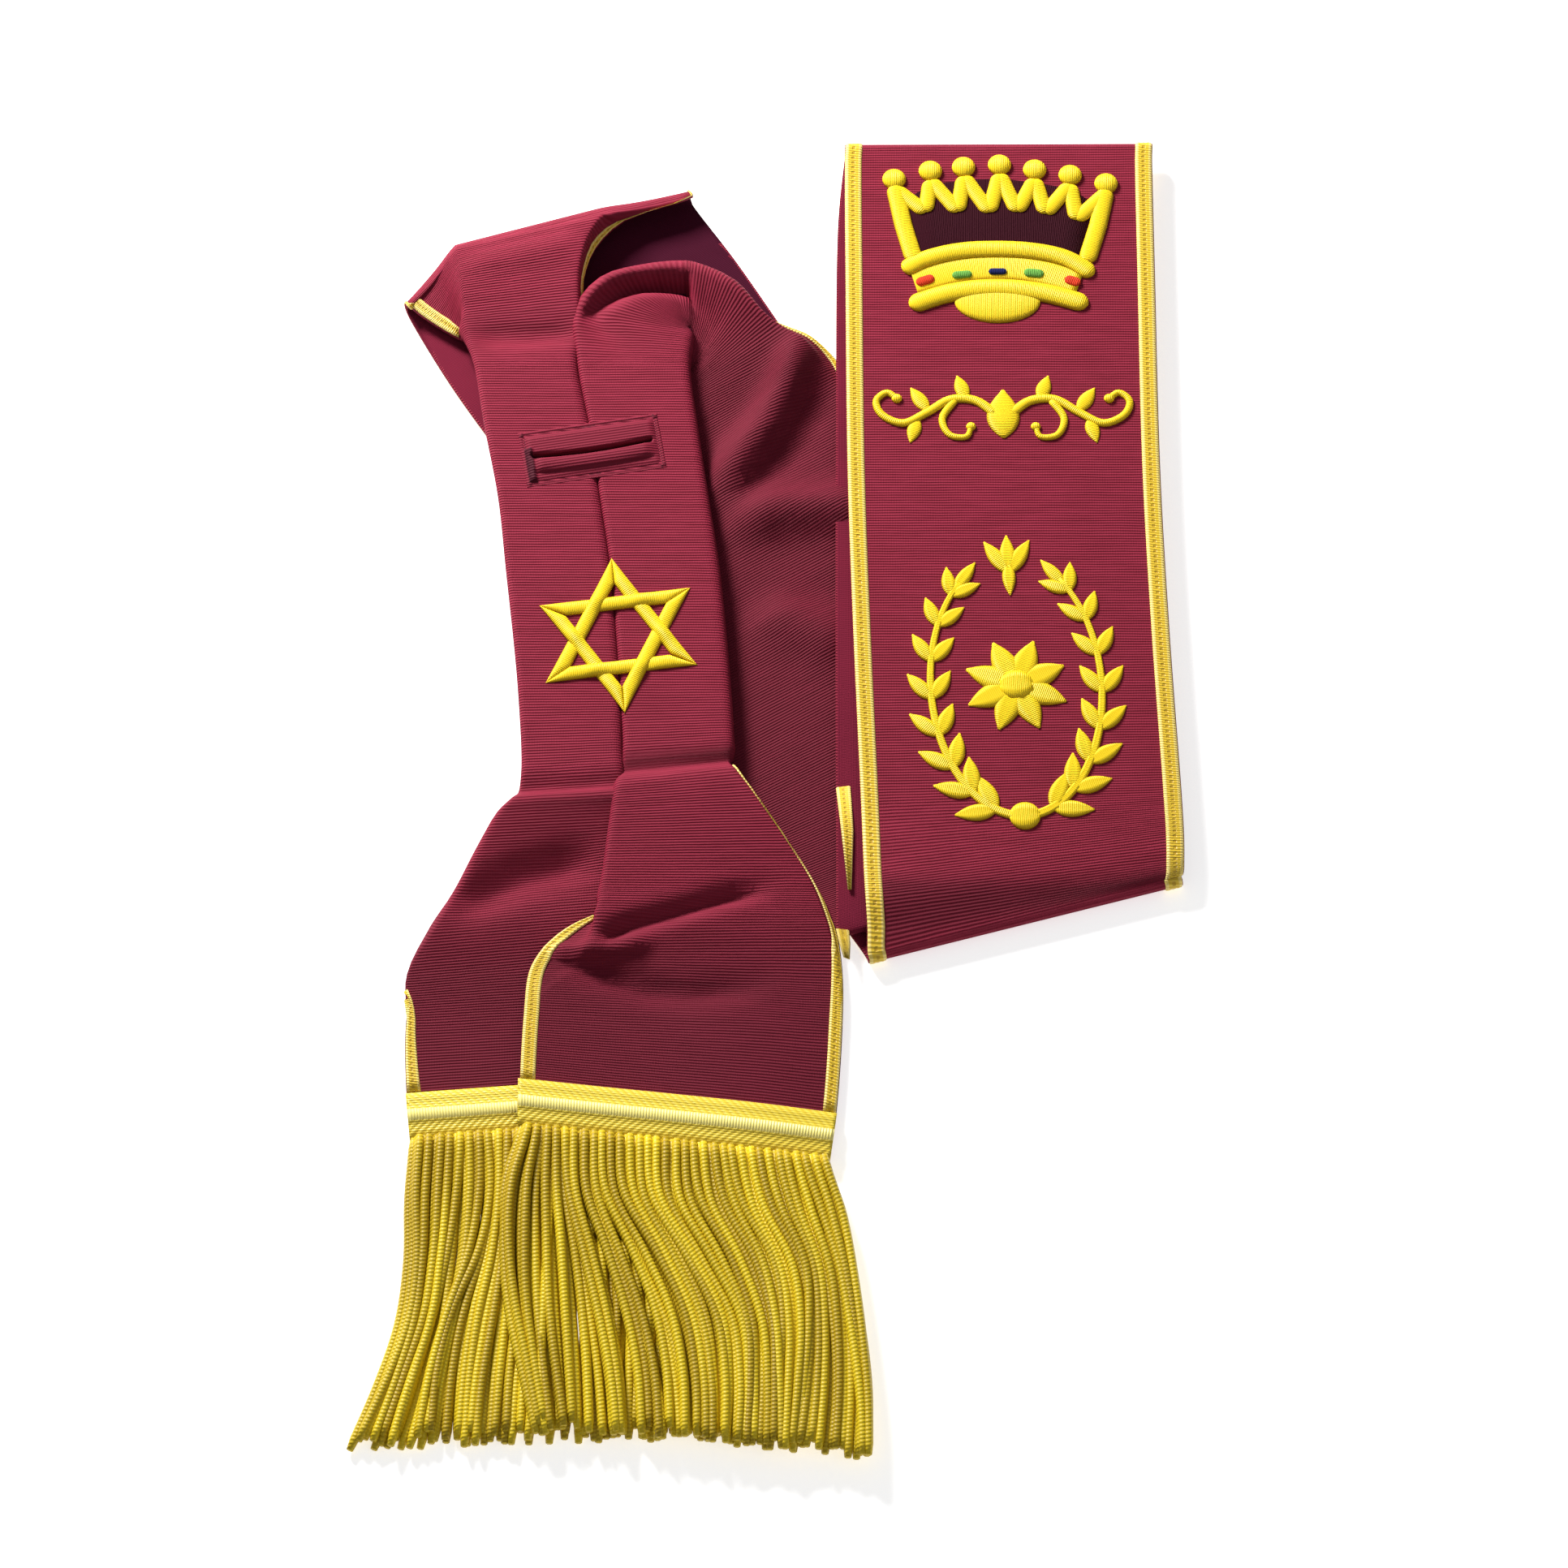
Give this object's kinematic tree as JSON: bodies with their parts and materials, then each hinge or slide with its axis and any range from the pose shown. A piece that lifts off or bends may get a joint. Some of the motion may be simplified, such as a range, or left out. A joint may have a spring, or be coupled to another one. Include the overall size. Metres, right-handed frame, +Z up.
{
  "type": "masonic sash",
  "caption": "Folded lined ribbon sash with gold lace edges, embroidered front band, slotted hip piece and two fringed tails.",
  "frame": {"origin": "middle of the outline of the folded sash, on the surface that it lies on", "axes": "+X to the right and +Y towards the coronet end as seen from the front, +Z up out of the embroidered face"},
  "size_m": [0.2606, 0.4696, 0.0155],
  "materials": {
    "ribbon": "ribbed maroon grosgrain",
    "gold_lace": "woven pale gold lace",
    "gold_thread": "padded satin stitch in gold thread",
    "gold_fringe": "twisted gold cords",
    "dark_thread": "dark purple stitching",
    "red_thread": "red stitching",
    "green_thread": "green stitching",
    "navy_thread": "navy stitching"
  },
  "bodies": {
    "root": {"sash_ribbon": "ribbon", "slot_facing": "ribbon", "lace_tail_left_outer": "gold_lace", "lace_tail_left_inner": "gold_lace", "lace_loop_left": "gold_lace", "lace_rise_left": "gold_lace", "lace_loop_right": "gold_lace", "lace_tail_right_inner": "gold_lace", "lace_tail_right_outer": "gold_lace", "heading_left": "gold_lace", "heading_right": "gold_lace", "fringe_left": "gold_fringe", "fringe_right": "gold_fringe", "hip_star": "gold_thread", "coronet": "gold_thread", "coronet_cap": "dark_thread", "jewel_1": "red_thread", "jewel_2": "green_thread", "jewel_3": "navy_thread", "jewel_4": "green_thread", "jewel_5": "red_thread", "flourish": "gold_thread", "wreath": "gold_thread", "rosette": "gold_thread", "finial": "gold_thread"}
  },
  "joints": []
}
